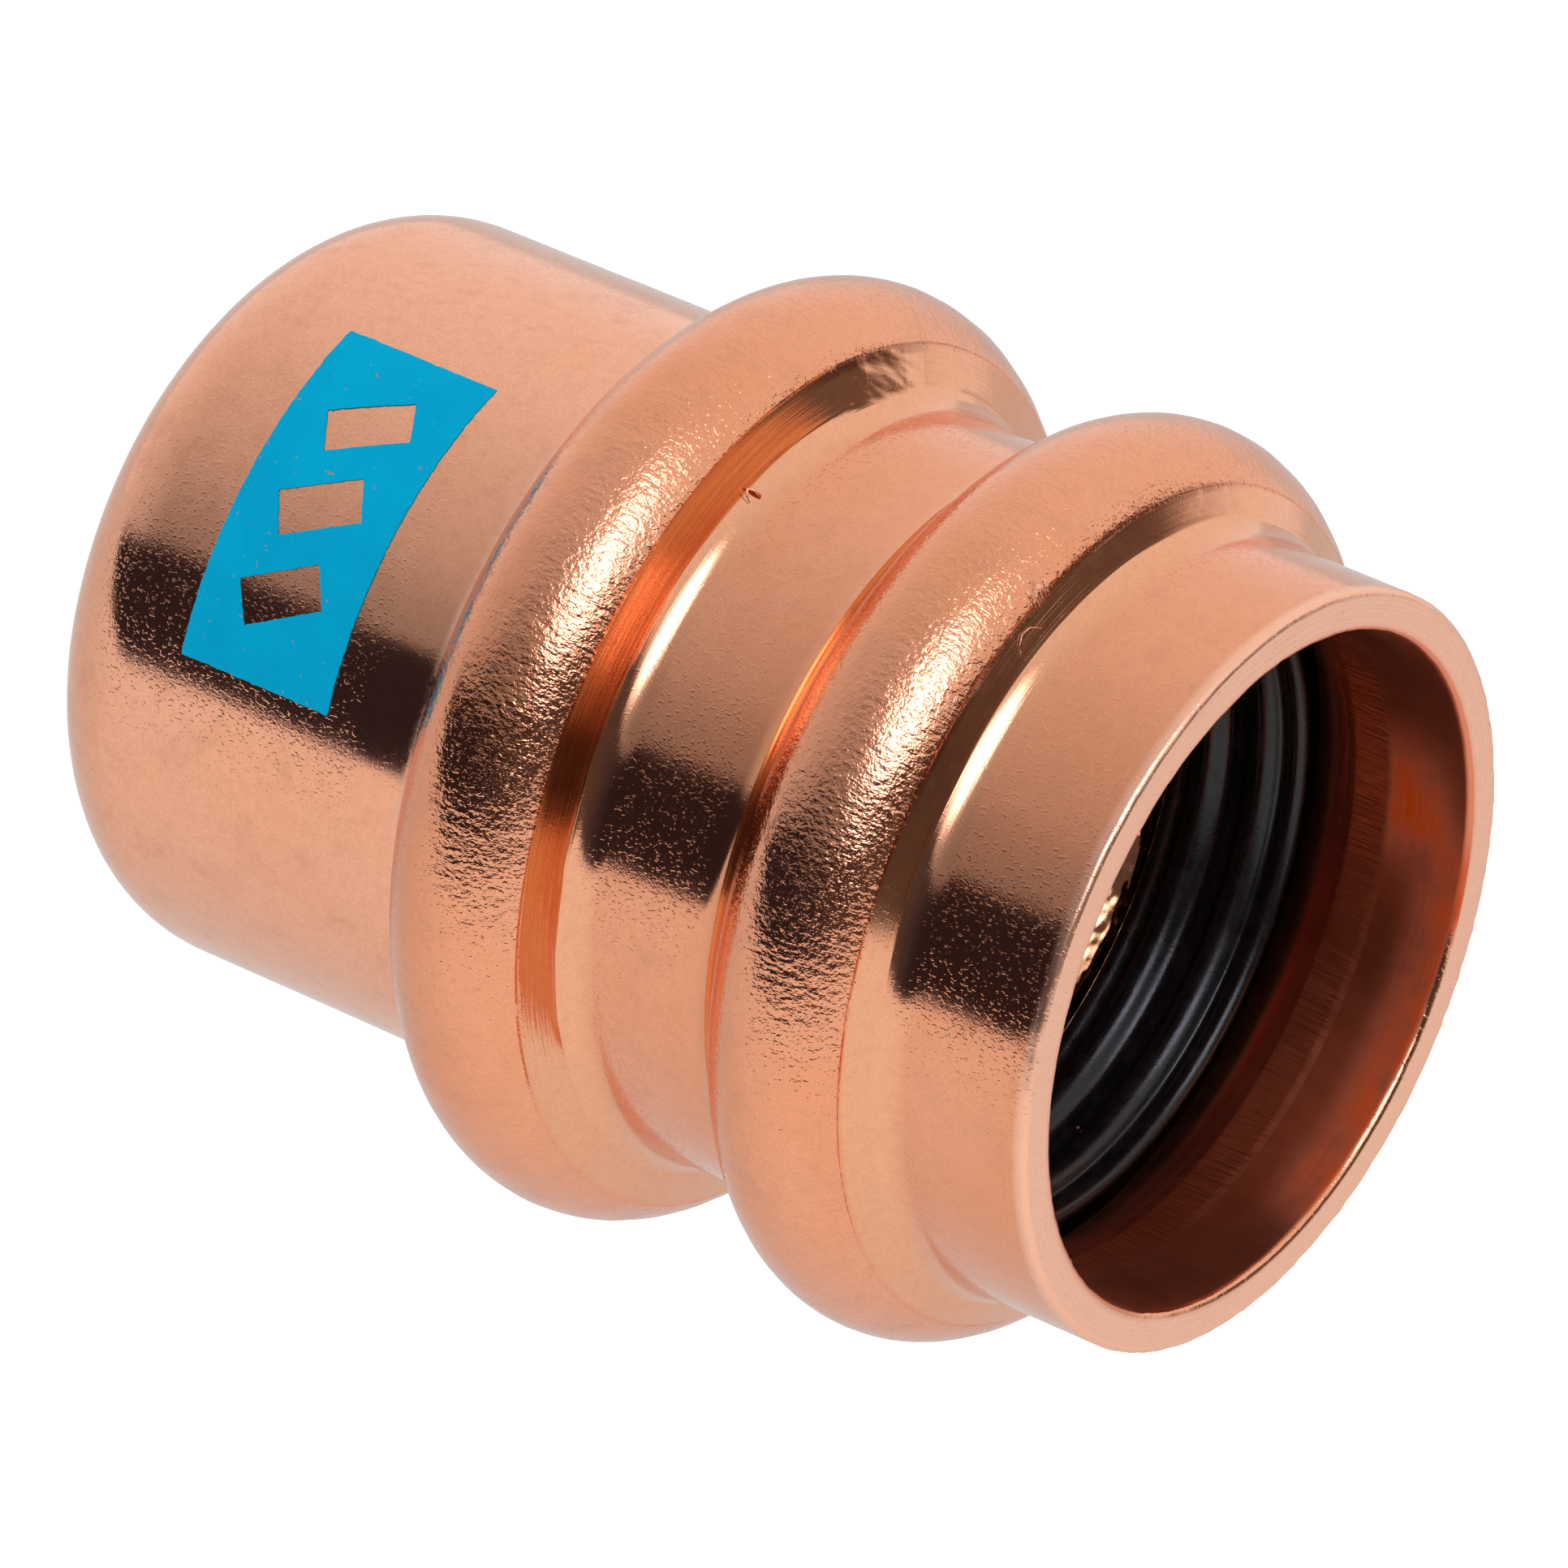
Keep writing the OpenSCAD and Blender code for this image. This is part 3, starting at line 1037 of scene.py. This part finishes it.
class StudioNodes(Nodes):
    """The nodes of the light that surrounds the row, by direction."""

    def __init__(self, tree):
        super().__init__(tree)
        self.direction = self.add("ShaderNodeTexCoord").outputs["Generated"]
        up, right, front = (self.along(axis) for axis in (STUDIO_UP, STUDIO_RIGHT, STUDIO_FRONT))
        self.elevation = self.math("MULTIPLY", self.math("ARCSINE", up), 180 / math.pi)
        self.azimuth = self.math("MULTIPLY", self.math("ARCTAN2", right, front), 180 / math.pi)
        self.right_side = self.fade(self.azimuth, 55, 112)
        left_side = self.math("MAXIMUM", self.math("SUBTRACT", -34.0, self.azimuth), 0.0)
        self.left_side = self.math("MULTIPLY", left_side, self.fade(self.azimuth, -96, -80))

    def along(self, axis):
        """How far the direction points along an axis, from -1 to 1."""
        return self.vector("DOT_PRODUCT", self.direction, tuple(axis))

    def angle_to(self, place):
        """The angle in degrees between the direction and a place in the studio."""
        angle = self.math("ARCCOSINE", self.along(studio_direction(*place)))
        return self.math("MULTIPLY", angle, 180 / math.pi)

    def sky(self):
        """A soft sky, dullest towards the camera's side."""
        node = self.add("ShaderNodeFloatCurve", {"Value": self.math("DIVIDE", self.angle_to(DULLEST), 180.0)})
        curve = node.mapping.curves[0]
        for angle, brightness in SKY:
            curve.points.new(angle / 180, brightness)
        curve.points[0].location = (0.0, SKY_ENDS[0])
        curve.points[-1].location = (1.0, SKY_ENDS[1])
        node.mapping.update()
        return node.outputs["Value"]

    def dark_side(self):
        """Where the dark cloth hangs: its top slopes down to the left and is lower on the right."""
        slope = self.math("MULTIPLY", self.left_side, 0.5)
        top = self.math("ADD", self.elevation, slope)
        top = self.math("ADD", top, self.math("MULTIPLY", self.right_side, 11.0))
        across = self.math("MULTIPLY", self.fade(self.azimuth, -80, -66), self.fade(self.azimuth, 154, 140))
        return self.math("MULTIPLY", across, self.fade(top, 30, 25))

    def table(self):
        """Where the white table is: its far edge is lower on the right and a little higher on the left."""
        low = self.math("ADD", self.elevation, self.math("MULTIPLY", self.right_side, 13.0))
        return self.fade(self.math("SUBTRACT", low, self.math("MULTIPLY", self.left_side, 0.2)), -3.0, -6.0)

    def blend(self, factor, a, b):
        """The number a where the factor is 0, and b where it is 1."""
        rest = self.math("MULTIPLY", a, self.math("SUBTRACT", 1.0, factor))
        return self.math("ADD", rest, self.math("MULTIPLY", factor, b))

    def studio(self):
        """The background that lights the row and shows in its reflections."""
        dark, table = self.dark_side(), self.table()
        deep = self.fade(self.azimuth, -10, 70, 0.030, 0.100)
        deep = self.math("ADD", deep, self.fade(self.azimuth, 85, 125, 0.0, 0.07))
        key = self.fade(self.angle_to(KEY_LIGHT), 26, 12)
        light = self.blend(dark, self.sky(), deep)
        light = self.math("ADD", light, self.math("MULTIPLY", key, KEY_STRENGTH))
        white = self.fade(self.along(studio_direction(*BRIGHT_TABLE)), -0.9, 0.9, 0.70, 1.02)
        light = self.blend(table, light, white)
        tint = self.mix(key, rgb(1, 1, 1), rgb(1.0, 1.02, 1.25))
        shade = self.mix(self.fade(self.azimuth, 0, 90), rgb(1.0, 0.82, 1.05), rgb(1.0, 0.78, 0.66))
        tint = self.mix(self.math("MULTIPLY", dark, self.math("SUBTRACT", 1.0, table)), tint, shade)
        return self.add("ShaderNodeBackground", {"Color": tint, "Strength": light}).outputs[0]


def make_world():
    """A light tent: white table, a soft sky that darkens towards the camera's side, and one soft key light.
    Behind the row itself only plain white is seen."""
    world = bpy.data.worlds.new("light_tent")
    bpy.context.scene.world = world
    world.use_nodes = True
    n = StudioNodes(world.node_tree)
    plain = n.add("ShaderNodeBackground", {"Color": rgb(1, 1, 1), "Strength": 1.0}).outputs[0]
    both = n.add("ShaderNodeMixShader")
    n.fill(both.inputs[0], n.add("ShaderNodeLightPath").outputs["Is Camera Ray"])
    n.fill(both.inputs[1], n.studio())
    n.fill(both.inputs[2], plain)
    n.add("ShaderNodeOutputWorld", {"Surface": both.outputs[0]})


def floor_material():
    """Plain pale paint that glows a little, so that the floor stays even and pale."""
    material, n = new_material("pale_floor")
    glow = n.add("ShaderNodeEmission", {"Color": rgb(1.0, 1.0, 1.0), "Strength": 0.9})
    paint = n.add("ShaderNodeBsdfDiffuse", {"Color": rgb(0.5, 0.5, 0.5)})
    both = n.add("ShaderNodeAddShader")
    n.fill(both.inputs[0], glow.outputs[0])
    n.fill(both.inputs[1], paint.outputs[0])
    n.add("ShaderNodeOutputMaterial", {"Surface": both.outputs[0]})
    return material


def make_floor():
    """A plain pale floor under the closed end, left out of the copper's reflections."""
    mesh = bpy.data.meshes.new("floor")
    corners = [(x * FLOOR_SIZE, y * FLOOR_SIZE, 0) for x, y in ((-1, -1), (1, -1), (1, 1), (-1, 1))]
    mesh.from_pydata(corners, [], [(0, 1, 2, 3)])
    mesh.materials.append(floor_material())
    floor = bpy.data.objects.new("floor", mesh)
    bpy.context.scene.collection.objects.link(floor)
    floor.visible_glossy = False


def make_camera():
    """A long lens that looks down at the mouth, rolled so that the mouth points to the lower right."""
    data = bpy.data.cameras.new("camera")
    data.sensor_width = SENSOR
    data.lens = LENS
    data.clip_start = 0.01
    data.clip_end = 20.0
    camera = bpy.data.objects.new("camera", data)
    bpy.context.scene.collection.objects.link(camera)
    elevation, roll = math.radians(CAMERA_ELEVATION), math.radians(CAMERA_ROLL)
    back = Vector((0.0, -math.cos(elevation), math.sin(elevation)))
    level_right = Vector((1.0, 0.0, 0.0))
    level_up = back.cross(level_right)
    right = level_right * math.cos(roll) + level_up * math.sin(roll)
    upward = back.cross(right)
    place = Matrix((right, upward, back)).transposed().to_4x4()
    place.translation = (Vector(AIM) + back * CAMERA_DISTANCE) * MM
    camera.matrix_world = place
    bpy.context.scene.camera = camera


def make_scene():
    """The row in its studio, and how it is rendered."""
    make_camera()
    make_world()
    make_floor()
    make_body()
    make_burrs()
    make_seal("front_seal_ring", 1.0)
    make_seal("rear_seal_ring", 5.0)
    make_mark()
    scene = bpy.context.scene
    scene.view_settings.view_transform = "Standard"
    scene.cycles.glossy_bounces = 12
    scene.cycles.max_bounces = 14


make_scene()
